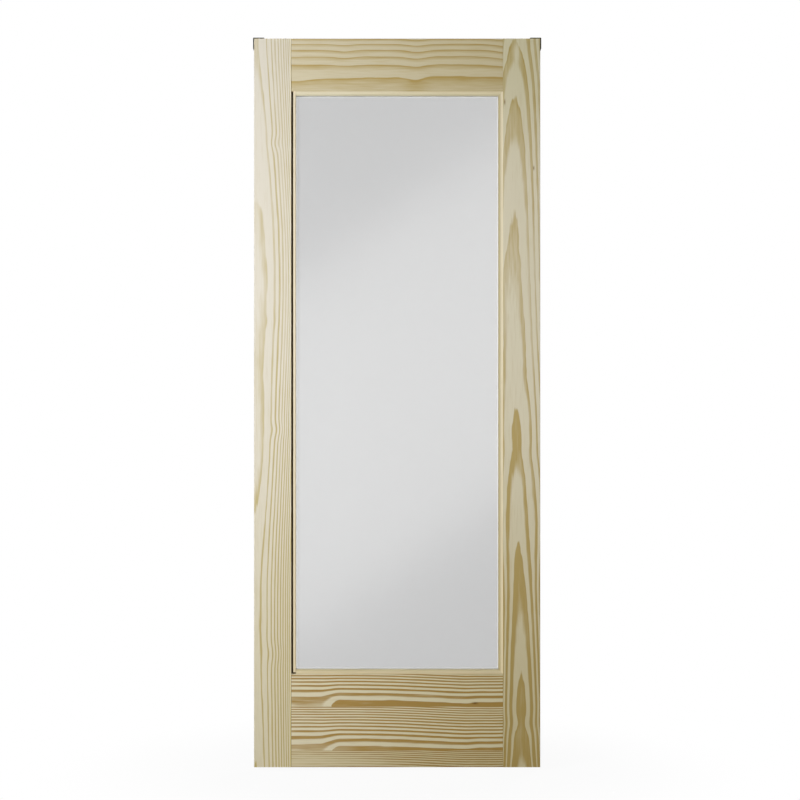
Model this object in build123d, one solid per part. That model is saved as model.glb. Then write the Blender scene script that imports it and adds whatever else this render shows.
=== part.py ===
"""Sliding barn door: a pine stile-and-rail leaf with one tall lite of satin glass.

The front faces -Y, +X is to the right seen from the front and +Z is up. The origin is
the middle of the top edge, where the hangers of a sliding track take hold, so the whole
leaf hangs below it. Sizes are in millimetres.
"""
import os

from build123d import *

# Leaf
LEAF_WIDTH = 838.2
LEAF_HEIGHT = 2133.6
LEAF_THICKNESS = 35.0
STILE_WIDTH = 109.5
TOP_RAIL_HEIGHT = 154.0
BOTTOM_RAIL_HEIGHT = 273.0
ARRIS_RADIUS = 1.5

# Stub tenons on the ends of the rails, and the mortises that take them
TENON_THICKNESS = 12.0
TENON_LENGTH = 60.0
TENON_EDGE_MARGIN = 40.0
TENON_SPACING = 40.0
TENON_CHEEK_CLEARANCE = 0.2
TENON_END_CLEARANCE = 2.0

# Groove along the bottom edge for the fin of a floor guide
GROOVE_WIDTH = 7.0
GROOVE_DEPTH = 18.0

# Glass and the tape it is bedded in
GLASS_THICKNESS = 5.0
GLASS_EDGE_CLEARANCE = 3.0
TAPE_THICKNESS = 1.0
TAPE_SETBACK = 1.0

# Glazing beads: a flat land, a quirk and an ovolo that rounds over to the glass
BEAD_WIDTH = 13.0
BEAD_RECESS = 2.0
OVOLO_RADIUS = 6.0
QUIRK_DEPTH = 0.8

# The front bead at the left is a plain strip that stands off its stile
SLOT_WIDTH = 5.4
STRIP_ROUNDING = 2.0
STRIP_END_GAP = 5.0

# Angles over the two top corners
GUARD_LEG = 33.0
GUARD_THICKNESS = 3.0
GUARD_SIDE_MARGIN = 1.0
GUARD_BEND_RADIUS = 2.0
GUARD_END_RADIUS = 1.0
SCREW_HOLE_RADIUS = 2.2
SCREW_SINK_RADIUS = 4.2
SCREW_SINK_ANGLE = 90.0
SCREW_FROM_END = 12.0

# Opening between the stiles and rails
OPENING_WIDTH = LEAF_WIDTH - 2 * STILE_WIDTH
OPENING_HEIGHT = LEAF_HEIGHT - TOP_RAIL_HEIGHT - BOTTOM_RAIL_HEIGHT
OPENING_LEFT = -OPENING_WIDTH / 2
OPENING_RIGHT = OPENING_WIDTH / 2
OPENING_TOP = -TOP_RAIL_HEIGHT
OPENING_BOTTOM = BOTTOM_RAIL_HEIGHT - LEAF_HEIGHT
OPENING_MIDDLE = (OPENING_TOP + OPENING_BOTTOM) / 2

# Levels through the thickness, counted from the middle of the leaf
GLASS_FACE = GLASS_THICKNESS / 2
TAPE_FACE = GLASS_FACE + TAPE_THICKNESS
LAND_FACE = LEAF_THICKNESS / 2 - BEAD_RECESS
BEAD_DEPTH = LAND_FACE - TAPE_FACE


def board(width, height, long_axis):
    """A frame member about its own middle, with its four long arrises eased."""
    blank = Box(width, LEAF_THICKNESS, height)
    return fillet(blank.edges().filter_by(long_axis), ARRIS_RADIUS)


def tenon_spans(rail_foot, rail_top, count):
    """Foot and height of each tenon of a rail, kept in from the rail's two edges."""
    foot = rail_foot + TENON_EDGE_MARGIN
    room = rail_top - rail_foot - 2 * TENON_EDGE_MARGIN
    height = (room - (count - 1) * TENON_SPACING) / count
    return [(foot + i * (height + TENON_SPACING), height) for i in range(count)]


TOP_TENONS = tenon_spans(OPENING_TOP, 0, 1)
BOTTOM_TENONS = tenon_spans(-LEAF_HEIGHT, OPENING_BOTTOM, 2)


def tenons(spans, side, cheek_clearance=0, end_clearance=0):
    """The tenons at one end of a rail or, with clearances, their mortises."""
    length = TENON_LENGTH + end_clearance
    thickness = TENON_THICKNESS + 2 * cheek_clearance
    x = side * (OPENING_WIDTH + length) / 2
    blocks = []
    for foot, height in spans:
        block = Box(length, thickness, height + 2 * cheek_clearance)
        blocks.append(Pos(x, 0, foot + height / 2) * block)
    return blocks


def guide_groove():
    """The space the floor guide's fin runs in, right through the bottom edge."""
    space = Box(2 * LEAF_WIDTH, GROOVE_WIDTH, 2 * GROOVE_DEPTH)
    return Pos(0, 0, -LEAF_HEIGHT) * space


def stile(side):
    """An upright of the leaf: side is -1 at the left and 1 at the right."""
    middle = side * (LEAF_WIDTH - STILE_WIDTH) / 2
    upright = Pos(middle, 0, -LEAF_HEIGHT / 2) * board(STILE_WIDTH, LEAF_HEIGHT, Axis.Z)
    spans = TOP_TENONS + BOTTOM_TENONS
    mortises = tenons(spans, side, TENON_CHEEK_CLEARANCE, TENON_END_CLEARANCE)
    return upright - mortises - guide_groove()


def top_rail():
    """The rail at the top, square-shouldered between the stiles."""
    rail = Pos(0, 0, -TOP_RAIL_HEIGHT / 2) * board(OPENING_WIDTH, TOP_RAIL_HEIGHT, Axis.X)
    return rail + tenons(TOP_TENONS, -1) + tenons(TOP_TENONS, 1)


def bottom_rail():
    """The deeper rail at the bottom, grooved like the feet of the stiles."""
    middle = BOTTOM_RAIL_HEIGHT / 2 - LEAF_HEIGHT
    rail = Pos(0, 0, middle) * board(OPENING_WIDTH, BOTTOM_RAIL_HEIGHT, Axis.X)
    rail = rail + tenons(BOTTOM_TENONS, -1) + tenons(BOTTOM_TENONS, 1)
    return rail - guide_groove()


def glass_panel():
    """The lite, cut smaller than its opening so that the frame can move."""
    width = OPENING_WIDTH - 2 * GLASS_EDGE_CLEARANCE
    height = OPENING_HEIGHT - 2 * GLASS_EDGE_CLEARANCE
    return Pos(0, 0, OPENING_MIDDLE) * Box(width, GLASS_THICKNESS, height)


def glazing_tape(face):
    """A ring of tape on one face of the glass: face is -1 in front and 1 behind."""
    band = BEAD_WIDTH - TAPE_SETBACK
    ring = Box(OPENING_WIDTH, TAPE_THICKNESS, OPENING_HEIGHT)
    ring -= Box(OPENING_WIDTH - 2 * band, 2 * TAPE_THICKNESS, OPENING_HEIGHT - 2 * band)
    return Pos(0, face * (GLASS_FACE + TAPE_FACE) / 2, OPENING_MIDDLE) * ring


def bead_section():
    """The moulding's section: local x runs in from the frame, local y down to the glass."""
    land_end = BEAD_WIDTH - OVOLO_RADIUS
    round_end = QUIRK_DEPTH + OVOLO_RADIUS
    flats = Polyline(
        (BEAD_WIDTH, round_end),
        (BEAD_WIDTH, BEAD_DEPTH),
        (0, BEAD_DEPTH),
        (0, 0),
        (land_end, 0),
        (land_end, QUIRK_DEPTH),
    )
    ovolo = CenterArc((land_end, round_end), OVOLO_RADIUS, 0, -90)
    return make_face(flats.edges() + ovolo.edges())


def bead(length, square_left=False):
    """A length of bead on a sill: its land faces -Y, its outer side stands on Z = 0.

    Both ends are mitred, or the left one is cut square where it meets the plain strip.
    """
    run = Plane(origin=(length / 2, 0, 0), x_dir=(0, 0, 1), z_dir=(-1, 0, 0))
    moulding = extrude(run * bead_section(), length)
    left_foot = -length / 2 + (BEAD_WIDTH if square_left else 0)
    ends = Polyline(
        (left_foot, 0),
        (length / 2, 0),
        (length / 2 - BEAD_WIDTH, BEAD_WIDTH),
        (-length / 2 + BEAD_WIDTH, BEAD_WIDTH),
        close=True,
    )
    front = Plane(origin=(0, 0, 0), x_dir=(1, 0, 0), z_dir=(0, -1, 0))
    block = extrude(front * make_face(ends.edges()), 2 * BEAD_DEPTH, both=True)
    return moulding & block


def bead_in_opening(edge, face):
    """A bead laid along one edge of the opening, in front (-1) or behind (1)."""
    length, turn, x, z = {
        "bottom": (OPENING_WIDTH, 0, 0, OPENING_BOTTOM),
        "left": (OPENING_HEIGHT, 90, OPENING_LEFT, OPENING_MIDDLE),
        "top": (OPENING_WIDTH, 180, 0, OPENING_TOP),
        "right": (OPENING_HEIGHT, -90, OPENING_RIGHT, OPENING_MIDDLE),
    }[edge]
    piece = Rot(0, turn, 0) * bead(length)
    if face > 0:
        piece = mirror(piece, about=Plane.XZ)
    return Pos(x, face * LAND_FACE, z) * piece


def butted_bead(edge):
    """A front bead at the top or bottom: square at the left strip, mitred at the right."""
    piece = bead(OPENING_WIDTH, square_left=True)
    if edge == "top":
        piece = mirror(piece, about=Plane.XY)
    z = OPENING_TOP if edge == "top" else OPENING_BOTTOM
    return Pos(0, -LAND_FACE, z) * piece


def left_strip():
    """The narrow strip at the left: it hangs from the top rail and ends short below."""
    width = BEAD_WIDTH - SLOT_WIDTH
    height = OPENING_HEIGHT - STRIP_END_GAP
    strip = Box(width, BEAD_DEPTH, height)
    front_edges = strip.faces().sort_by(Axis.Y)[0].edges().filter_by(Axis.Z)
    strip = fillet(front_edges.sort_by(Axis.X)[-1], STRIP_ROUNDING)
    x = OPENING_LEFT + SLOT_WIDTH + width / 2
    y = -(LAND_FACE + TAPE_FACE) / 2
    return Pos(x, y, OPENING_TOP - height / 2) * strip


def corner_guard(side):
    """An angle over one top corner, sunk for a screw in each leg."""
    corner = -LEAF_WIDTH / 2 - GUARD_THICKNESS
    width = LEAF_THICKNESS - 2 * GUARD_SIDE_MARGIN
    end_x = corner + GUARD_LEG
    end_z = GUARD_THICKNESS - GUARD_LEG
    outline = Polyline(
        (corner, GUARD_THICKNESS),
        (end_x, GUARD_THICKNESS),
        (end_x, 0),
        (corner + GUARD_THICKNESS, 0),
        (corner + GUARD_THICKNESS, end_z),
        (corner, end_z),
        close=True,
    )
    front = Plane(origin=(0, 0, 0), x_dir=(1, 0, 0), z_dir=(0, -1, 0))
    angle = extrude(front * make_face(outline.edges()), width / 2, both=True)
    cross_edges = angle.edges().filter_by(Axis.Y)
    bend = cross_edges.sort_by(Axis.X)[:2].sort_by(Axis.Z)[-1]
    angle = fillet(bend, GUARD_BEND_RADIUS)
    top_tip = angle.edges().filter_by(Axis.Y).sort_by(Axis.X)[-2:].sort_by(Axis.Z)[-1]
    angle = fillet(top_tip, GUARD_END_RADIUS)
    side_tip = angle.edges().filter_by(Axis.Y).sort_by(Axis.Z)[:2].sort_by(Axis.X)[0]
    angle = fillet(side_tip, GUARD_END_RADIUS)
    hole = CounterSinkHole(
        SCREW_HOLE_RADIUS, SCREW_SINK_RADIUS, 2 * GUARD_THICKNESS, SCREW_SINK_ANGLE
    )
    top_hole = Pos(end_x - SCREW_FROM_END, 0, GUARD_THICKNESS) * hole
    side_hole = Pos(corner, 0, end_z + SCREW_FROM_END) * Rot(0, -90, 0) * hole
    angle = angle - top_hole - side_hole
    return angle if side < 0 else mirror(angle, about=Plane.YZ)


PIECES = {
    "left_stile": stile(-1),
    "right_stile": stile(1),
    "top_rail": top_rail(),
    "bottom_rail": bottom_rail(),
    "glass_panel": glass_panel(),
    "front_tape": glazing_tape(-1),
    "back_tape": glazing_tape(1),
    "front_bead_left": left_strip(),
    "front_bead_right": bead_in_opening("right", -1),
    "front_bead_top": butted_bead("top"),
    "front_bead_bottom": butted_bead("bottom"),
    "back_bead_left": bead_in_opening("left", 1),
    "back_bead_right": bead_in_opening("right", 1),
    "back_bead_top": bead_in_opening("top", 1),
    "back_bead_bottom": bead_in_opening("bottom", 1),
    "corner_guard_left": corner_guard(-1),
    "corner_guard_right": corner_guard(1),
}

os.makedirs("parts", exist_ok=True)
for name, shape in PIECES.items():
    export_step(shape, f"parts/{name}.step")
    print(name, round(shape.volume / 1000, 1), "cm3")
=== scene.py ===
# %% [markdown]
# # A pine barn door with a satin glass lite
#
# The door's solids already exist as CAD nodes, in metres, at their true places. This
# lesson gives them their finishes: four boards of unfinished pine that each show their own
# growth rings, paler glazing beads, satin glass, dark brown tape and black corner angles.
# It then adds the small screws of the angles and the pins of the beads, a pale studio,
# lamps and a camera.

# %% Load the frame
import math

import bpy
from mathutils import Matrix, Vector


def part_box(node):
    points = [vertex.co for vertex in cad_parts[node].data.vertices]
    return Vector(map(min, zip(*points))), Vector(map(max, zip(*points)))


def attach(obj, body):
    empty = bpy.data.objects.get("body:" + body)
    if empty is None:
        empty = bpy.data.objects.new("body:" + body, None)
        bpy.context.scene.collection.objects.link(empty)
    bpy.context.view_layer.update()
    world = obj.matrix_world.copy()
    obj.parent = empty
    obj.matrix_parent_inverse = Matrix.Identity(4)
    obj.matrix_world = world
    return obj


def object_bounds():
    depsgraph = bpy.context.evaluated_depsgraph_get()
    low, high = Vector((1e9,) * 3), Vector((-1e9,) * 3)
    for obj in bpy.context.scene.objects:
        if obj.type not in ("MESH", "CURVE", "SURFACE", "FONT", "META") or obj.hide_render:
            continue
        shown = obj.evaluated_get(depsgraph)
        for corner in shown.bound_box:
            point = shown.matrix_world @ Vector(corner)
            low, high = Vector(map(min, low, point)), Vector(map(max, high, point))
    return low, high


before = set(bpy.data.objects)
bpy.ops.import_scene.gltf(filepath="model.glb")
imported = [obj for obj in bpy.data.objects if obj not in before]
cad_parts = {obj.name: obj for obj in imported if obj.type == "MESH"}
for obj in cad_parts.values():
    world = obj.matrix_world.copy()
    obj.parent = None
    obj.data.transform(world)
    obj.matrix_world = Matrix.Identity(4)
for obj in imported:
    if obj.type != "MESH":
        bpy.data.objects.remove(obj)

cad_box = [list(corner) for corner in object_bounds()]
print("nodes:", len(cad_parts), "box:", cad_box)

# %% [markdown]
# ## Small helpers for shader nodes
#
# A procedural finish is a graph of small steps. Adding each step by hand takes four or
# five lines, so three helpers keep the recipes short enough to read like sums: one puts a
# value or a link into a socket, one adds a math step, and one adds a soft ramp.

# %% Node helpers
def put(tree, socket, value):
    """Link an output to a socket, or type a plain value into it."""
    if isinstance(value, bpy.types.NodeSocket):
        tree.links.new(value, socket)
    else:
        socket.default_value = value


def calc(tree, operation, first, second=0.0):
    """One math step on two numbers or sockets."""
    step = tree.nodes.new("ShaderNodeMath")
    step.operation = operation
    put(tree, step.inputs[0], first)
    put(tree, step.inputs[1], second)
    return step.outputs[0]


def ramp(tree, value, start, end, low=0.0, high=1.0):
    """A soft rise from low to high while the value goes from start to end."""
    step = tree.nodes.new("ShaderNodeMapRange")
    step.interpolation_type = "SMOOTHSTEP"
    for socket, amount in zip(step.inputs, (value, start, end, low, high)):
        put(tree, socket, amount)
    return step.outputs[0]


def new_finish(name):
    """An empty material with its node tree and its one surface shader."""
    finish = bpy.data.materials.new(name)
    finish.use_nodes = True
    return finish, finish.node_tree, finish.node_tree.nodes["Principled BSDF"]


def dress(finish, *names):
    """Give CAD nodes a finish in place of the plain one they came with."""
    for name in names:
        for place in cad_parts[name].material_slots:
            place.material = finish


print("helpers ready")

# %% [markdown]
# ## Where the grain runs
#
# Wood grain is a solid pattern: each board is cut from a log, and its face shows where the
# saw passed through the growth rings. A flat drawing of stripes would look wrong on the
# edges and ends, so the recipe works in three directions of the board instead: along the
# grain, across the face and into the depth. Stiles stand, so their grain runs up Z, and
# rails lie, so theirs runs along X.

# %% Board directions
ALONG, ACROSS, DEPTH = 0, 1, 2


def board_directions(tree, grain):
    """Sockets for the place along the grain, across the face and in depth, in metres."""
    point = tree.nodes.new("ShaderNodeTexCoord").outputs["Object"]
    split = tree.nodes.new("ShaderNodeSeparateXYZ")
    put(tree, split.inputs[0], point)
    x, y, z = split.outputs
    return (z, x, y) if grain == "up" else (x, z, y)


def streaks(tree, directions, scales, detail, seed):
    """Soft noise from 0 to 1, stretched differently along, across and in depth."""
    place = tree.nodes.new("ShaderNodeCombineXYZ")
    for socket, direction, scale in zip(place.inputs, directions, scales):
        put(tree, socket, calc(tree, "MULTIPLY", direction, scale))
    cloud = tree.nodes.new("ShaderNodeTexNoise")
    cloud.noise_dimensions = "4D"
    put(tree, cloud.inputs["Vector"], place.outputs[0])
    cloud.inputs["W"].default_value = seed
    cloud.inputs["Scale"].default_value = 1.0
    cloud.inputs["Detail"].default_value = detail
    return cloud.outputs["Fac"]


def swell(tree, place, middle, reach, height):
    """A smooth hump of a given height round one place along the board."""
    off = calc(tree, "DIVIDE", calc(tree, "SUBTRACT", place, middle), reach)
    fall = calc(tree, "MULTIPLY", calc(tree, "MULTIPLY", off, off), -1.0)
    return calc(tree, "MULTIPLY", calc(tree, "EXPONENT", fall), height)


def spot(tree, directions, middle, reach, height):
    """A smooth oval hump round one place on the face of the board."""
    far = swell(tree, directions[0], middle[0], reach[0], height)
    return calc(tree, "MULTIPLY", far, swell(tree, directions[1], middle[1], reach[1], 1.0))


print("grain directions ready")

# %% [markdown]
# ## Counting the growth rings
#
# The heart of the recipe is a count of rings from the pith, the middle of the tree. The
# pith is a line along the board that lies well in front of its face. The distance from
# that line, divided by the width of one ring, is the ring count. Facing the pith the rings
# spread out into wide flames, and further across they crowd into straight lines, exactly
# as on sawn pine. A trunk gets thinner upwards, so a slow change along the board pulls the
# rings into pointed arches. Branches push the lines aside near one place, swells and steps
# change the count along the whole board, hooks change only the rings nearest the pith, and
# soft noise keeps any line from being perfect. Years differ too: in one stretch the inner
# rings may be wide and the outer ones crowded.

# %% Ring count
FRONT_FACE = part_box("left_stile")[0][1]


def crowded(tree, along, count, rings, middle, reach, bend, loss):
    """Spread the inner rings and crowd the outer ones round one place along the board."""
    here = swell(tree, along, middle, reach, 1.0)
    share = calc(tree, "MAXIMUM", calc(tree, "DIVIDE", count, rings), 0.0)
    power = calc(tree, "ADD", 1.0, calc(tree, "MULTIPLY", here, bend))
    kept = calc(tree, "SUBTRACT", rings, calc(tree, "MULTIPLY", here, loss * rings))
    return calc(tree, "MULTIPLY", calc(tree, "POWER", share, power), kept)


def ring_count(tree, directions, board):
    """How many rings lie between the pith and each point of the board."""
    along, across, depth = directions
    lean = calc(tree, "MULTIPLY", along, board.get("lean", 0.0))
    side = calc(tree, "SUBTRACT", calc(tree, "SUBTRACT", across, board["pith_across"]), lean)
    if "strip" in board:
        side = calc(tree, "FLOORED_MODULO", side, board["strip"])
    for middle, reach, push in board.get("branches", ()):
        side = calc(tree, "SUBTRACT", side, spot(tree, directions, middle, reach, push))
    below = calc(tree, "SUBTRACT", depth, FRONT_FACE - board["pith_ahead"])
    squares = calc(tree, "ADD", calc(tree, "POWER", side, 2.0), calc(tree, "POWER", below, 2.0))
    radius = calc(tree, "SUBTRACT", calc(tree, "SQRT", squares), board["pith_ahead"])
    count = calc(tree, "DIVIDE", radius, board["ring"])
    if "crowd" in board:
        count = crowded(tree, along, count, *board["crowd"])
    if "tighten" in board:
        count = calc(tree, "MULTIPLY", count, ramp(tree, along, *board["tighten"]))
    slope = calc(tree, "MULTIPLY", along, board.get("rings_per_metre", 0.0))
    count = calc(tree, "ADD", calc(tree, "ADD", count, slope), board.get("start", 0.0))
    for middle, reach, height in board.get("swells", ()):
        count = calc(tree, "ADD", count, swell(tree, along, middle, reach, height))
    for begin, end, height in board.get("steps", ()):
        count = calc(tree, "ADD", count, ramp(tree, along, begin, end, 0.0, height))
    for begin, end, height, reach in board.get("hooks", ()):
        near_pith = swell(tree, side, 0.0, reach, 1.0)
        hook = calc(tree, "MULTIPLY", near_pith, ramp(tree, along, begin, end, height, 0.0))
        count = calc(tree, "ADD", count, hook)
    for scales, size in board["wander"]:
        cloud = streaks(tree, directions, scales, 1.0, board["seed"] + size)
        drift = calc(tree, "MULTIPLY", calc(tree, "SUBTRACT", cloud, 0.5), size)
        count = calc(tree, "ADD", count, drift)
    return count


print("front face of the boards at y =", round(FRONT_FACE, 4))

# %% [markdown]
# ## Dark and pale bands
#
# Each ring starts pale in spring, darkens slowly towards autumn and stops at a sharp edge.
# That is one soft ramp up and one quick ramp down over the ring. No two years are alike, so
# a random number for each ring changes how dark it gets, and a slow cloud lets each band
# grow stronger and weaker along the board.

# %% Ring bands
MEAN_STRENGTH = 0.65
CLOUD_STRENGTH = 0.7
CLOUD_SCALES = (5.0, 60.0, 60.0)
RIM_REACH = 0.12


def ring_bands(tree, directions, count, board):
    """How dark the autumn wood is at each point, from 0 to 1."""
    year = tree.nodes.new("ShaderNodeTexWhiteNoise")
    year.noise_dimensions = "1D"
    put(tree, year.inputs["W"], calc(tree, "ADD", calc(tree, "FLOOR", count), board["seed"]))
    weak = calc(tree, "MULTIPLY", year.outputs["Value"], board["unevenness"])
    cloud = streaks(tree, directions, CLOUD_SCALES, 2.0, board["seed"] + 2.0)
    steady = calc(tree, "SUBTRACT", MEAN_STRENGTH, weak)
    strength = calc(tree, "ADD", steady, calc(tree, "MULTIPLY", cloud, CLOUD_STRENGTH))
    strength = calc(tree, "MULTIPLY", strength, ramp(tree, directions[ALONG], *board["strength"]))
    for middle, reach, change in board.get("faint", ()):
        strength = calc(tree, "SUBTRACT", strength, spot(tree, directions, middle, reach, change))
    phase = calc(tree, "FRACT", count)
    rise, full, edge = board["band"]
    if "thickness" in board:
        thinner = calc(tree, "SUBTRACT", 0.5, year.outputs["Value"])
        later = calc(tree, "MULTIPLY", thinner, board["thickness"])
        rise = calc(tree, "SUBTRACT", rise, later)
        full = calc(tree, "SUBTRACT", full, later)
    for direction, *span in board.get("widen", ()):
        wider = ramp(tree, directions[direction], *span)
        rise = calc(tree, "SUBTRACT", rise, wider)
        full = calc(tree, "SUBTRACT", full, wider)
    band = calc(tree, "POWER", ramp(tree, phase, rise, full), board.get("fade", 1.0))
    rim = ramp(tree, phase, edge - RIM_REACH, edge, 0.0, board.get("rim", 0.0))
    fall = ramp(tree, phase, edge, 1.0, 1.0, 0.0)
    band = calc(tree, "MULTIPLY", calc(tree, "ADD", band, rim), fall)
    return calc(tree, "MULTIPLY", band, strength)


print("bands ready")

# %% [markdown]
# ## From bands to pine
#
# The bands choose between a pale and a dark colour. Fine fibres along the grain break up
# the bands, a wider streakiness keeps the pale wood from looking flat, and both give the
# slight relief and the uneven dull shine of sanded, unfinished wood. Tints then change the
# colour slowly along the board, mostly darker towards its lower or right end, or across it near
# an edge, where some are painted shade and painted light; a tiny resin spot deepens it at once.

# %% Pine recipe
FIBRE_SCALES = (9.0, 700.0, 700.0)
STREAK_SCALES = (14.0, 230.0, 230.0)
TONE_SCALES = (1.5, 18.0, 18.0)
RESIN_TINT = (0.40, 0.30, 0.18)


def blend_colours(tree, amount, first, second, mode="MIX"):
    """Mix two colours, or multiply the first by the second, by a given amount."""
    step = tree.nodes.new("ShaderNodeMix")
    step.data_type = "RGBA"
    step.blend_type = mode
    put(tree, step.inputs["Factor"], amount)
    for socket, colour in zip(step.inputs[6:8], (first, second)):
        put(tree, socket, (*colour, 1.0) if isinstance(colour, tuple) else colour)
    return step.outputs[2]


def signed(tree, cloud, size):
    """Turn a noise from 0 to 1 into a small change up and down."""
    return calc(tree, "MULTIPLY", calc(tree, "SUBTRACT", cloud, 0.5), size)


def uneven_shine(tree, shader, least, cloud, size):
    """Roughness that grows from its least value with a noise."""
    rough = calc(tree, "ADD", least, calc(tree, "MULTIPLY", cloud, size))
    put(tree, shader.inputs["Roughness"], rough)


def uneven_relief(tree, shader, height, strength, distance):
    """A shallow relief from a height, in metres."""
    relief = tree.nodes.new("ShaderNodeBump")
    relief.inputs["Strength"].default_value = strength
    relief.inputs["Distance"].default_value = distance
    put(tree, relief.inputs["Height"], height)
    put(tree, shader.inputs["Normal"], relief.outputs[0])


def pine(name, grain, board):
    """A finish for one board of unfinished pine."""
    finish, tree, shader = new_finish(name)
    directions = board_directions(tree, grain)
    band = ring_bands(tree, directions, ring_count(tree, directions, board), board)
    fibre = streaks(tree, directions, FIBRE_SCALES, 3.0, board["seed"])
    streak = streaks(tree, directions, STREAK_SCALES, 2.0, board["seed"] + 3.0)
    tone = streaks(tree, directions, TONE_SCALES, 2.0, board["seed"] + 5.0)
    dark = calc(tree, "ADD", band, signed(tree, fibre, 0.36))
    dark = calc(tree, "ADD", dark, signed(tree, streak, 0.8))
    dark = calc(tree, "ADD", dark, signed(tree, tone, 0.4))
    colour = blend_colours(tree, dark, board["pale"], board["dark"])
    # Some of these tints are painted shade and painted light near edges.
    for direction, begin, end, tint in board.get("colour_shifts_and_painted_light", ()):
        amount = ramp(tree, directions[direction], begin, end)
        colour = blend_colours(tree, amount, colour, tint, "MULTIPLY")
    for middle, reach in board.get("resin", ()):
        amount = spot(tree, directions, middle, reach, 1.0)
        colour = blend_colours(tree, amount, colour, RESIN_TINT, "MULTIPLY")
    put(tree, shader.inputs["Base Color"], colour)
    shader.inputs["Specular IOR Level"].default_value = 0.3
    uneven_shine(tree, shader, 0.5, fibre, 0.2)
    uneven_relief(tree, shader, calc(tree, "ADD", band, fibre), 0.25, 0.0003)
    print(name, "made with", len(tree.nodes), "nodes")
    return finish


# %% [markdown]
# ## The left stile
#
# The pith of this board lies along its outer edge. The rings are wide apart there and close
# up towards the glass, so the board shows long upright lines. They lean away from the edge
# in the upper half, come back below, and jog at the branch whorls.

# %% Left stile
left_low, left_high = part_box("left_stile")
left_stile = {
    "pith_across": left_low[0] - 0.002,
    "pith_ahead": 0.200,
    "ring": 0.00286,
    "crowd": (6.85, -0.70, 0.50, 0.65, 0.51),
    "start": 0.616,
    "swells": [(-0.68, 0.40, -0.88), (-1.23, 0.25, -0.82), (-2.35, 0.42, -0.90)],
    "steps": [(-0.25, 0.0, 0.25)],
    "branches": [
        ((-0.307, -0.357), (0.020, 0.020), -0.006),
        ((-0.830, -0.387), (0.020, 0.030), 0.004),
        ((-1.146, -0.358), (0.022, 0.030), 0.005),
        ((-1.800, -0.366), (0.030, 0.030), 0.0045),
        ((-2.050, -0.415), (0.120, 0.012), 0.010),
    ],
    "wander": [((1.2, 6.0, 6.0), 0.2), ((7.0, 14.0, 14.0), 0.16), ((14.0, 120.0, 120.0), 0.18)],
    "band": (0.70, 0.92, 0.95),
    "widen": [(ACROSS, left_low[0] + 0.030, left_low[0] + 0.070, 0.0, 0.26)],
    "strength": (-0.7, -2.0, 0.85, 1.85),
    "faint": [((-0.62, left_low[0] + 0.004), (0.60, 0.012), 0.35)],
    "unevenness": 0.35,
    "pale": (0.680, 0.636, 0.540),
    "dark": (0.49, 0.405, 0.195),
    "colour_shifts_and_painted_light": [
        (ALONG, -0.9, -2.1, (0.92, 0.89, 0.75)),
        # Painted highlight: the face within about 3 mm of the inner edge is made paler.
        (ACROSS, left_high[0] - 0.0042, left_high[0] - 0.0030, (1.22, 1.23, 1.16)),
        # Painted shade: the last millimetre of the face and the wall of the slot are darkened.
        (ACROSS, left_high[0] - 0.0012, left_high[0] - 0.0008, (0.30, 0.24, 0.18)),
    ],
    "seed": 3.0,
}
dress(pine("left stile pine", "up", left_stile), "left_stile")

# %% [markdown]
# ## The right stile
#
# This board was sawn flat, with the pith opposite the middle of its inner half and leaning a
# little. The trunk's taper pulls the rings into tall pointed arches, one above the other,
# that get darker and broader downwards. The outer edge keeps a few straight lines.

# %% Right stile
right_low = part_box("right_stile")[0]
right_stile = {
    "pith_across": right_low[0] + 0.0395,
    "lean": -0.0072,
    "pith_ahead": 0.150,
    "ring": 0.0057,
    "tighten": (-1.38, -1.66, 1.0, 1.7),
    "rings_per_metre": 2.57,
    "start": 0.775,
    "branches": [
        ((-0.70, 0.345), (0.60, 0.300), -0.0125),
        ((-0.73, 0.316), (0.11, 0.020), -0.014),
        ((-0.99, 0.372), (0.06, 0.014), -0.006),
        ((-1.40, 0.378), (0.17, 0.022), -0.011),
    ],
    "swells": [(-0.38, 0.38, -0.52), (-1.215, 0.06, 0.20), (-2.005, 0.030, 0.24), (-2.20, 0.08, -0.30)],
    "steps": [(-0.15, 0.0, 0.385)],
    "wander": [((1.5, 9.0, 9.0), 0.16), ((7.0, 24.0, 24.0), 0.14), ((20.0, 120.0, 120.0), 0.18)],
    "band": (0.55, 0.79, 0.955),
    "widen": [
        (ALONG, -1.15, -1.75, 0.0, 0.22),
        (ALONG, -0.60, -0.25, 0.0, 0.15),
        (ALONG, -2.02, -2.10, 0.0, 0.16),
    ],
    "rim": 0.30,
    "strength": (-0.3, -2.0, 0.84, 1.3),
    "faint": [((-0.72, 0.36), (0.30, 1.0), 0.28), ((-0.050, 0.349), (0.048, 0.009), 0.75)],
    "unevenness": 0.25,
    "pale": (0.677, 0.622, 0.466),
    "dark": (0.45, 0.340, 0.130),
    "colour_shifts_and_painted_light": [
        (ALONG, -0.9, -2.1, (0.765, 0.725, 0.575)),
        (ALONG, -0.45, -0.05, (0.88, 0.885, 0.79)),
    ],
    "resin": [((-0.379, 0.400), (0.006, 0.002)), ((-0.186, 0.315), (0.008, 0.002))],
    "seed": 11.0,
}
dress(pine("right stile pine", "up", right_stile), "right_stile")

# %% [markdown]
# ## The top rail
#
# A fast-grown board with its pith opposite the lower edge: a broad brown band at the bottom,
# then a few thin lines, closer and closer, that dip together where a branch pushed them.

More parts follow.
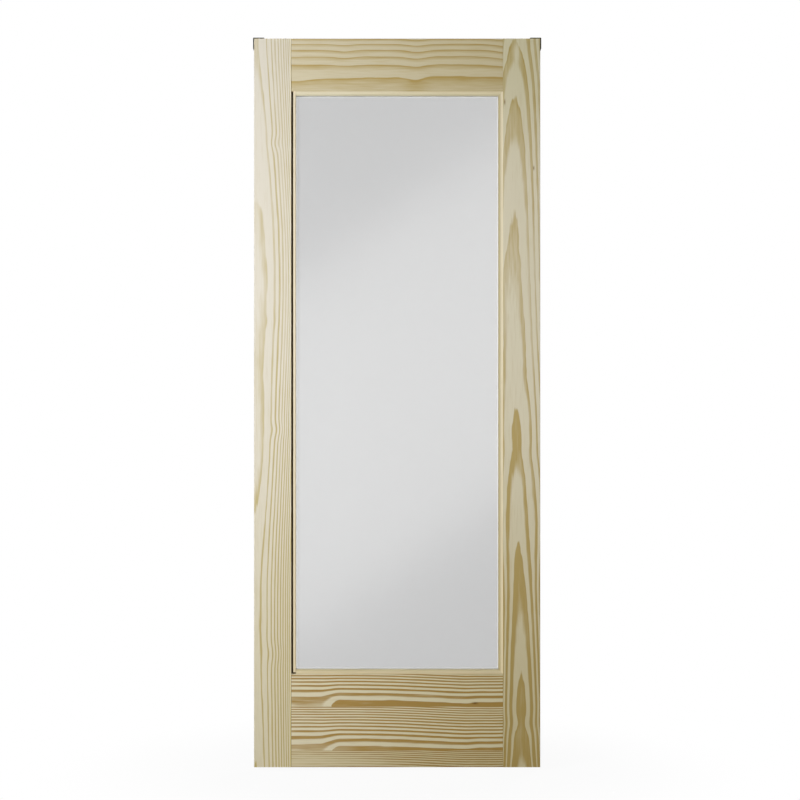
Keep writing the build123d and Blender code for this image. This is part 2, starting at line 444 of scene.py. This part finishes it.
# %% Top rail
top_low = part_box("top_rail")[0]
top_rail = {
    "pith_across": top_low[2],
    "pith_ahead": 0.400,
    "ring": 0.00524,
    "start": 0.574,
    "swells": [(0.052, 0.030, 0.16)],
    "steps": [(0.06, 0.15, -0.06)],
    "branches": [
        ((-0.360, -0.130), (0.170, 0.030), -0.014),
        ((-0.153, -0.045), (0.035, 0.040), -0.005),
        ((0.067, -0.045), (0.040, 0.045), -0.003),
        ((0.340, -0.045), (0.060, 0.060), -0.010),
    ],
    "wander": [((2.5, 5.0, 5.0), 0.12), ((12.0, 14.0, 14.0), 0.06), ((18.0, 120.0, 120.0), 0.12)],
    "band": (0.15, 0.97, 0.97),
    "fade": 2.0,
    "rim": 0.35,
    "strength": (-0.3, 0.3, 0.80, 1.0),
    "unevenness": 0.25,
    "pale": (0.612, 0.546, 0.382),
    "dark": (0.43, 0.315, 0.108),
    "colour_shifts_and_painted_light": [(ALONG, -0.3, 0.3, (0.90, 0.88, 0.79))],
    "seed": 23.0,
}
dress(pine("top rail pine", "along", top_rail), "top_rail")

# %% [markdown]
# ## The bottom rail
#
# The deep rail is glued up from strips of one board, so the same lines start again at each
# glue line: wide at the foot of a strip and crowded at its head. One branch makes all the
# wide bands step up in a hook at the same place, and a smaller one dips them further right.

# %% Bottom rail
bottom_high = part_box("bottom_rail")[1]
LAST_GLUE_LINE = -2.085
bottom_rail = {
    "pith_across": bottom_high[2] - 0.0957,
    "strip": 0.1286,
    "pith_ahead": 0.150,
    "ring": 0.0042,
    "start": -0.38,
    "hooks": [(-0.225, -0.165, 0.82, 0.060)],
    "steps": [(0.195, 0.25, -0.18)],
    "branches": [
        ((0.27, -2.000), (0.22, 1.000), -0.012),
        ((0.00, -2.050), (1.00, 0.045), -0.0045),
        ((0.02, -2.072), (0.25, 0.020), -0.003),
        ((-0.36, -2.068), (0.16, 0.026), -0.009),
    ],
    "wander": [((3.0, 10.0, 10.0), 0.12), ((10.0, 20.0, 20.0), 0.12), ((16.0, 120.0, 120.0), 0.16)],
    "band": (0.37, 0.62, 0.93),
    "thickness": -0.08,
    "strength": (-0.35, 0.10, 1.00, 1.35),
    "faint": [
        ((-0.28, -2.114), (0.24, 0.024), 0.60),
        ((0.0, -2.128), (1.0, 0.014), 0.20),
        ((0.15, -1.985), (0.40, 0.030), -0.38),
        ((0.10, -1.875), (0.50, 0.020), -0.25),
    ],
    "unevenness": 0.25,
    "pale": (0.668, 0.608, 0.432),
    "dark": (0.350, 0.220, 0.058),
    "colour_shifts_and_painted_light": [
        (ALONG, -0.3, 0.3, (0.88, 0.87, 0.78)),
        (ACROSS, LAST_GLUE_LINE + 0.002, LAST_GLUE_LINE - 0.003, (0.88, 0.85, 0.76)),
    ],
    "resin": [((0.228, -1.946), (0.008, 0.003))],
    "seed": 37.0,
}
dress(pine("bottom rail pine", "along", bottom_rail), "bottom_rail")

# %% [markdown]
# ## The glazing beads
#
# The beads are thin mouldings of clear, pale pine, each with its own run of grain and its own
# tone. On the right, top and bottom beads a painted shade darkens the round ovolo beside the
# glass, and a painted light makes paler all that lies more than about 8 mm behind the front
# face: the sides of the front beads next to the glass and the whole of the back beads.

# %% Beads
def bead_pine(name, grain, seed, bead_shifts_and_painted_light):
    """A finish for one pair of beads, front and back."""
    board = {
        "pith_across": -0.9,
        "pith_ahead": 0.4,
        "ring": 0.0035,
        "wander": [((1.5, 30.0, 30.0), 1.2)],
        "band": (0.3, 0.85, 0.92),
        "strength": (-1.0, 1.0, 0.9, 0.9),
        "unevenness": 0.4,
        "pale": (0.80, 0.71, 0.53),
        "dark": (0.66, 0.55, 0.36),
        "colour_shifts_and_painted_light": bead_shifts_and_painted_light,
        "seed": seed,
    }
    return pine(name, grain, board)


right_edge = right_low[0]
foot_edge = bottom_high[2]
sight_line = FRONT_FACE + 0.0088
# Painted shade on the ovolo beside the glass: deep on the right bead, faint on top and bottom.
OVOLO_PAINTED_SHADE_DEEP = (0.54, 0.51, 0.37)
OVOLO_PAINTED_SHADE_FAINT = (0.95, 0.96, 0.95)
# Painted light: makes paler all that lies more than about 8 mm behind the front face.
BEAD_SIDE_PAINTED_LIGHT = (1.25, 1.35, 1.65)
bead_finishes = {
    "left": bead_pine("left bead pine", "up", 51.0, [
        (ALONG, -0.9, -2.1, (0.97, 0.93, 0.82)),
    ]),
    "right": bead_pine("right bead pine", "up", 52.0, [
        (ALONG, -0.9, -2.1, (0.95, 0.90, 0.78)),
        (ACROSS, right_edge + 0.001, right_edge, (1.08, 1.12, 1.14)),
        (ACROSS, right_edge - 0.003, right_edge - 0.011, OVOLO_PAINTED_SHADE_DEEP),
        # Painted light, stronger on the right bead: paler more than about 8 mm behind the front face.
        (DEPTH, sight_line - 0.001, sight_line, (1.8, 1.95, 2.8)),
    ]),
    "top": bead_pine("top bead pine", "along", 53.0, [
        (ALONG, -0.3, 0.3, (0.96, 0.93, 0.83)),
        (ACROSS, top_low[2] + 0.001, top_low[2], (0.92, 0.96, 0.97)),
        (ACROSS, top_low[2] - 0.003, top_low[2] - 0.009, OVOLO_PAINTED_SHADE_FAINT),
        (DEPTH, sight_line - 0.001, sight_line, BEAD_SIDE_PAINTED_LIGHT),
    ]),
    "bottom": bead_pine("bottom bead pine", "along", 54.0, [
        (ACROSS, foot_edge - 0.001, foot_edge, (0.83, 0.81, 0.70)),
        (ACROSS, foot_edge + 0.003, foot_edge + 0.009, OVOLO_PAINTED_SHADE_FAINT),
        (DEPTH, sight_line - 0.001, sight_line, BEAD_SIDE_PAINTED_LIGHT),
    ]),
}
for edge, finish in bead_finishes.items():
    dress(finish, "front_bead_" + edge, "back_bead_" + edge)

# %% [markdown]
# ## Satin glass
#
# The lite is etched glass: light passes but shapes behind it dissolve, and a clear front
# face still mirrors the studio softly. A rough transmitting body gives the first and a
# smoother coat gives the second. A faint cloudiness keeps the etching from looking flat.
# Within a few millimetres of the beads the glass is painted paler, a painted light that keeps
# it bright right up to the beads.

# %% Glass
PAINTED_LIGHT_RIM_WIDTH = 0.0042
PAINTED_LIGHT_RIM_COLOUR = (0.98, 0.98, 0.99)

glass, tree, shader = new_finish("satin glass")
directions = board_directions(tree, "up")
etching = streaks(tree, directions, (700.0, 700.0, 700.0), 2.0, 7.0)
cloudy = streaks(tree, directions, (2.0, 3.0, 3.0), 1.0, 9.0)
body = blend_colours(tree, cloudy, (0.590, 0.592, 0.593), (0.602, 0.604, 0.605))
# Painted light: the glass is made paler within a few millimetres of each bead.
rim = 0.0
for direction, sight, inward in (
    (ACROSS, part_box("front_bead_left")[1][0], 1.0),
    (ACROSS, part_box("front_bead_right")[0][0], -1.0),
    (ALONG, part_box("front_bead_top")[0][2], -1.0),
    (ALONG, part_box("front_bead_bottom")[1][2], 1.0),
):
    near = ramp(tree, directions[direction], sight + inward * PAINTED_LIGHT_RIM_WIDTH, sight)
    rim = calc(tree, "MAXIMUM", rim, near)
put(tree, shader.inputs["Base Color"], blend_colours(tree, rim, body, PAINTED_LIGHT_RIM_COLOUR))
uneven_shine(tree, shader, 0.22, etching, 0.015)
shader.inputs["Transmission Weight"].default_value = 0.85
shader.inputs["IOR"].default_value = 1.5
shader.inputs["Coat Weight"].default_value = 1.0
shader.inputs["Coat Roughness"].default_value = 0.165
dress(glass, "glass_panel")
print("glass has", len(tree.nodes), "nodes")

# %% [markdown]
# ## Tape and corner angles
#
# The glazing tape is dull dark brown rubber, seen only at the bottom of the open slot. The
# corner angles are steel with a satin black paint that is slightly uneven, as a brushed or
# dipped coat is.

# %% Tape
tape, tree, shader = new_finish("glazing tape")
directions = board_directions(tree, "up")
grit = streaks(tree, directions, (900.0, 900.0, 900.0), 2.0, 1.0)
brown = blend_colours(tree, grit, (0.050, 0.034, 0.016), (0.090, 0.064, 0.032))
put(tree, shader.inputs["Base Color"], brown)
shader.inputs["Roughness"].default_value = 0.85
dress(tape, "front_tape", "back_tape")
print("tape made")

# %% Corner angles
guard, tree, shader = new_finish("black angle")
directions = board_directions(tree, "up")
paint = streaks(tree, directions, (400.0, 400.0, 400.0), 3.0, 2.0)
patch = streaks(tree, directions, (60.0, 60.0, 60.0), 2.0, 4.0)
black = blend_colours(tree, patch, (0.006, 0.006, 0.005), (0.016, 0.015, 0.012))
put(tree, shader.inputs["Base Color"], black)
shader.inputs["Specular IOR Level"].default_value = 0.3
uneven_shine(tree, shader, 0.38, paint, 0.2)
uneven_relief(tree, shader, paint, 0.3, 0.0002)
dress(guard, "corner_guard_left", "corner_guard_right")
print("angles painted")

# %% [markdown]
# ## Screws of the angles
#
# Each leg of an angle is held by one countersunk screw. The real screw is turned from rod,
# with a flat head, a cone under it and a shank, and its cross is pressed in. Here a thin
# disc is the rim of the head, its lower face is drawn out into the cone and the shank, and
# two crossed bars cut the recess. One screw is modelled, then copied into the four holes.

# %% Screw
HEAD_RADIUS = 0.00385
RIM = 0.0002
SHANK_RADIUS = 0.0020
CONE = HEAD_RADIUS - SHANK_RADIUS
SHANK = 0.0007
CROSS_LENGTH = 0.0046
CROSS_WIDTH = 0.0009
CROSS_DEPTH = 0.0011
EDGE_ROUNDING = 0.0001

bpy.ops.object.select_all(action="DESELECT")
bpy.ops.mesh.primitive_cylinder_add(
    vertices=48, radius=HEAD_RADIUS, depth=RIM, location=(0.0, 0.0, -RIM / 2))
screw = bpy.context.object
screw.name = "screw"
for face in screw.data.polygons:
    face.select = face.normal.z < -0.9
bpy.ops.object.mode_set(mode="EDIT")
bpy.ops.mesh.select_mode(type="FACE")
bpy.ops.mesh.extrude_region_move(TRANSFORM_OT_translate={"value": (0.0, 0.0, -CONE)})
narrow = SHANK_RADIUS / HEAD_RADIUS
bpy.ops.transform.resize(value=(narrow, narrow, 1.0), center_override=(0.0, 0.0, -RIM - CONE))
bpy.ops.mesh.extrude_region_move(TRANSFORM_OT_translate={"value": (0.0, 0.0, -SHANK)})
bpy.ops.object.mode_set(mode="OBJECT")
bpy.ops.object.transform_apply(location=True, rotation=True, scale=True)
for turn in (0.0, math.pi / 2):
    bpy.ops.mesh.primitive_cube_add(size=1.0, rotation=(0.0, 0.0, turn))
    bar = bpy.context.object
    bar.scale = (CROSS_LENGTH, CROSS_WIDTH, CROSS_DEPTH * 2)
    cut = screw.modifiers.new("cross", "BOOLEAN")
    cut.operation = "DIFFERENCE"
    cut.object = bar
    bpy.context.view_layer.objects.active = screw
    bpy.ops.object.modifier_apply(modifier=cut.name)
    bpy.data.objects.remove(bar)
rounding = screw.modifiers.new("rounding", "BEVEL")
rounding.width = EDGE_ROUNDING
rounding.segments = 2
rounding.limit_method = "ANGLE"
bpy.ops.object.modifier_apply(modifier=rounding.name)
print("screw with", len(screw.data.polygons), "faces")

# %% Screw finish
steel, tree, shader = new_finish("black screw steel")
directions = board_directions(tree, "up")
rub = streaks(tree, directions, (900.0, 900.0, 900.0), 2.0, 6.0)
wear = streaks(tree, directions, (300.0, 300.0, 300.0), 2.0, 8.0)
worn = blend_colours(tree, wear, (0.030, 0.029, 0.027), (0.070, 0.068, 0.062))
put(tree, shader.inputs["Base Color"], worn)
uneven_shine(tree, shader, 0.35, rub, 0.2)
shader.inputs["Metallic"].default_value = 0.8
screw.data.materials.clear()
screw.data.materials.append(steel)
print("screw steel has", len(tree.nodes), "nodes")

# %% Screws in their holes
SCREW_FROM_END = 0.012
SUNK = 0.0002


def copy_to(piece, name, place, rotation):
    """Copy a fixing with its own mesh to a place on the leaf."""
    bpy.ops.object.select_all(action="DESELECT")
    piece.select_set(True)
    bpy.context.view_layer.objects.active = piece
    bpy.ops.object.duplicate(linked=False)
    copy = bpy.context.object
    copy.name = name
    copy.rotation_euler = rotation
    copy.location = place
    bpy.ops.object.transform_apply(location=True, rotation=True, scale=True)
    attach(copy, "root")


holes = {}
for edge, out in (("left", -1.0), ("right", 1.0)):
    low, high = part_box("corner_guard_" + edge)
    outer, inner = (low[0], high[0]) if out < 0 else (high[0], low[0])
    on_top = (inner + out * SCREW_FROM_END, 0.0, high[2] - SUNK)
    on_side = (outer - out * SUNK, 0.0, low[2] + SCREW_FROM_END)
    holes["screw_top_" + edge] = (on_top, 0.0)
    holes["screw_side_" + edge] = (on_side, out * math.pi / 2)
for name, (place, turn) in holes.items():
    copy_to(screw, name, place, (0.0, turn, 0.0))
bpy.data.objects.remove(screw)
print("screws:", sorted(holes))

# %% [markdown]
# ## Pins of the beads
#
# Thin panel pins hold the beads. Their heads are punched below the land and the little
# holes are stopped with filler, so all that shows is a row of small dots, a shade darker
# than the wood and slightly domed. A thin disc is the dab of filler. Its top is inset and
# raised, its foot is drawn down into the punched hole, and it is copied along each bead,
# on the front and on the back.

# %% Stopped pin
DAB_RADIUS = 0.0010
DAB_EDGE = 0.00004
DAB_DOME = 0.00008
PIN_RADIUS = 0.0006
PUNCHED = 0.0015

bpy.ops.object.select_all(action="DESELECT")
bpy.ops.mesh.primitive_cylinder_add(vertices=20, radius=DAB_RADIUS, depth=2 * DAB_EDGE)
pin = bpy.context.object
pin.name = "pin"
for face in pin.data.polygons:
    face.select = face.normal.z < -0.9
bpy.ops.object.mode_set(mode="EDIT")
bpy.ops.mesh.select_mode(type="FACE")
bpy.ops.mesh.extrude_region_move(TRANSFORM_OT_translate={"value": (0.0, 0.0, -PUNCHED)})
narrow = PIN_RADIUS / DAB_RADIUS
bpy.ops.transform.resize(value=(narrow, narrow, 1.0), center_override=(0.0, 0.0, -PUNCHED))
bpy.ops.object.mode_set(mode="OBJECT")
for face in pin.data.polygons:
    face.select = face.normal.z > 0.9
bpy.ops.object.mode_set(mode="EDIT")
bpy.ops.mesh.inset(thickness=DAB_RADIUS * 0.3, depth=DAB_DOME * 0.7)
bpy.ops.mesh.inset(thickness=DAB_RADIUS * 0.4, depth=DAB_DOME * 0.3)
bpy.ops.object.mode_set(mode="OBJECT")
print("pin with", len(pin.data.polygons), "faces")

# %% Filler
filler, tree, shader = new_finish("pin filler")
directions = board_directions(tree, "up")
dust = streaks(tree, directions, (1500.0, 1500.0, 1500.0), 2.0, 12.0)
tint = blend_colours(tree, dust, (0.60, 0.50, 0.34), (0.72, 0.62, 0.44))
put(tree, shader.inputs["Base Color"], tint)
uneven_shine(tree, shader, 0.6, dust, 0.3)
shader.inputs["Specular IOR Level"].default_value = 0.2
pin.data.materials.clear()
pin.data.materials.append(filler)
print("filler has", len(tree.nodes), "nodes")

# %% Pins along the beads
LAND_RECESS = 0.002
LAND_MIDDLE = 0.0035
PIN_FROM_END = 0.045
PINS_UPRIGHT = 7
PINS_LEVEL = 3
UPRIGHT, LEVEL = 2, 0


def pin_row(side, out, edge, axis, line):
    """A row of pins along one bead, on a line that runs up or level."""
    low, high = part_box(side + "_bead_" + edge)
    land = out * (abs(FRONT_FACE) - LAND_RECESS)
    count = PINS_UPRIGHT if axis == UPRIGHT else PINS_LEVEL
    first = low[axis] + PIN_FROM_END
    step = (high[axis] - PIN_FROM_END - first) / (count - 1)
    for number in range(count):
        along = first + step * number
        place = (line, land, along) if axis == UPRIGHT else (along, land, line)
        name = f"pin_{side}_{edge}_{number + 1}"
        copy_to(pin, name, place, (-out * math.pi / 2, 0.0, 0.0))


strip_low, strip_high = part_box("front_bead_left")
pin_row("front", -1.0, "left", UPRIGHT, (strip_low[0] + strip_high[0]) / 2)
pin_row("back", 1.0, "left", UPRIGHT, left_high[0] + LAND_MIDDLE)
for side, out in (("front", -1.0), ("back", 1.0)):
    pin_row(side, out, "right", UPRIGHT, right_edge - LAND_MIDDLE)
    pin_row(side, out, "top", LEVEL, top_low[2] - LAND_MIDDLE)
    pin_row(side, out, "bottom", LEVEL, foot_edge + LAND_MIDDLE)
bpy.data.objects.remove(pin)
print("pins along eight beads")

# %% [markdown]
# ## A pale studio
#
# The door hangs just clear of a pale floor, in front of a plain white surround. The floor
# looks white to the camera but still takes a soft shadow.

# %% Floor
FLOOR_GAP = 0.010
FLOOR_SIZE = 30.0
SHADOW_NEAR, SHADOW_FAR = 0.35, 1.1
LEAST_WHITE = 0.94


def watched(tree):
    """One for rays from the camera, from a reflection or through glass, and else zero."""
    ray = tree.nodes.new("ShaderNodeLightPath").outputs
    looking = calc(tree, "MAXIMUM", ray["Is Camera Ray"], ray["Is Glossy Ray"])
    return calc(tree, "MAXIMUM", looking, ray["Is Transmission Ray"])


floor_level = cad_box[0][2] - FLOOR_GAP
bpy.ops.object.select_all(action="DESELECT")
bpy.ops.mesh.primitive_plane_add(size=FLOOR_SIZE, location=(0.0, 0.0, floor_level))
floor = bpy.context.object
floor.name = "studio_floor"
pale, tree, shader = new_finish("studio floor")
shader.inputs["Base Color"].default_value = (0.7, 0.7, 0.7, 1.0)
shader.inputs["Roughness"].default_value = 0.9
shader.inputs["Specular IOR Level"].default_value = 0.0
white = tree.nodes.new("ShaderNodeEmission")
white.inputs["Strength"].default_value = 1.0
looking = watched(tree)
blend = tree.nodes.new("ShaderNodeMixShader")
spread = tree.nodes.new("ShaderNodeVectorMath")
spread.operation = "LENGTH"
put(tree, spread.inputs[0], tree.nodes.new("ShaderNodeTexCoord").outputs["Object"])
far = spread.outputs["Value"]
white_share = ramp(tree, far, SHADOW_NEAR, SHADOW_FAR, LEAST_WHITE, 1.0)
put(tree, blend.inputs[0], calc(tree, "MULTIPLY", looking, white_share))
put(tree, blend.inputs[1], shader.outputs[0])
put(tree, blend.inputs[2], white.outputs[0])
put(tree, tree.nodes["Material Output"].inputs["Surface"], blend.outputs[0])
floor.data.materials.append(pale)
print("floor at z =", round(floor_level, 4))

# %% World
world = bpy.data.worlds.new("studio")
bpy.context.scene.world = world
world.use_nodes = True
tree = world.node_tree
fill = tree.nodes["Background"]
fill.inputs["Color"].default_value = (1.0, 1.0, 1.0, 1.0)
fill.inputs["Strength"].default_value = 0.08
surround = tree.nodes.new("ShaderNodeBackground")
surround.inputs["Strength"].default_value = 1.0
surround.inputs["Color"].default_value = (1.0, 1.0, 1.0, 1.0)
looking = watched(tree)
blend = tree.nodes.new("ShaderNodeMixShader")
put(tree, blend.inputs[0], looking)
put(tree, blend.inputs[1], fill.outputs[0])
put(tree, blend.inputs[2], surround.outputs[0])
put(tree, tree.nodes["World Output"].inputs["Surface"], blend.outputs[0])
print("world set")

# %% [markdown]
# ## Camera
#
# The photograph looks straight at the door with a long lens. At the front face one pixel
# of the 800 pixel frame is 2.928 mm, and the middle of the frame lies a few pixels above
# and to the right of the middle of the leaf.

# %% Camera
LENS = 85.0
SENSOR = 36.0
PIXEL = 0.002928
FRAME_PIXELS = 800
leaf_middle = (left_low[2] + left_high[2]) / 2
distance = FRAME_PIXELS * PIXEL * LENS / SENSOR
bpy.ops.object.camera_add(
    location=(2.85 * PIXEL, FRONT_FACE - distance, leaf_middle + 2.9 * PIXEL),
    rotation=(math.radians(90), 0.0, 0.0),
)
camera = bpy.context.object
camera.name = "studio_camera"
camera.data.lens = LENS
camera.data.sensor_width = SENSOR
bpy.context.scene.camera = camera
print("camera at", [round(value, 3) for value in camera.location])

# %% [markdown]
# ## Lamps
#
# A lamp from the upper left lights that corner most, and a large one at the camera fills
# from the front. Another, high behind on the right, lights the back and the edges that
# the front lamps leave dark. A slanted panel in front is there only to be mirrored: its
# reflection is the pale band across the glass, so it lights no dull surface.

# %% Lamps
BAND_SLANT = math.radians(-33.8)


def panel_lamp(name, place, aim, width, height, watts):
    """A soft rectangular lamp at a place, turned towards a point."""
    bpy.ops.object.light_add(type="AREA", location=place)
    lamp = bpy.context.object
    lamp.name = name
    lamp.data.shape = "RECTANGLE"
    lamp.data.size = width
    lamp.data.size_y = height
    lamp.data.energy = watts
    run = [a - b for a, b in zip(aim, place)]
    turn = math.atan2(run[1], run[0]) - math.pi / 2
    lift = math.atan2(run[2], math.hypot(run[0], run[1]))
    lamp.rotation_mode = "ZXY"
    lamp.rotation_euler = (math.pi / 2 + lift, 0.0, turn)
    lamp.rotation_mode = "XYZ"
    lamp.visible_camera = False
    return lamp


middle = (0.0, FRONT_FACE, leaf_middle)
upper = panel_lamp(
    "upper_left_lamp", (-1.9, -2.0, -0.45), middle, width=1.0, height=1.0, watts=60.0)
upper.visible_glossy = False
front = panel_lamp(
    "front_lamp", (0.0, -5.75, leaf_middle), middle, width=2.4, height=1.8, watts=75.0)
front.visible_glossy = False
front.visible_transmission = False
back = panel_lamp(
    "back_lamp", (3.2, 4.7, leaf_middle + 2.6), middle, width=2.4, height=1.8, watts=150.0)
back.visible_glossy = False
back.visible_transmission = False
band = panel_lamp(
    "band_panel", (0.0, -2.6, leaf_middle + 0.047), middle, width=3.2, height=1.3, watts=23.5)
band.rotation_euler = (math.pi / 2, BAND_SLANT, 0.0)
band.visible_diffuse = False
band.visible_transmission = False
bpy.context.scene.view_settings.view_transform = "Standard"
print("four lamps set")
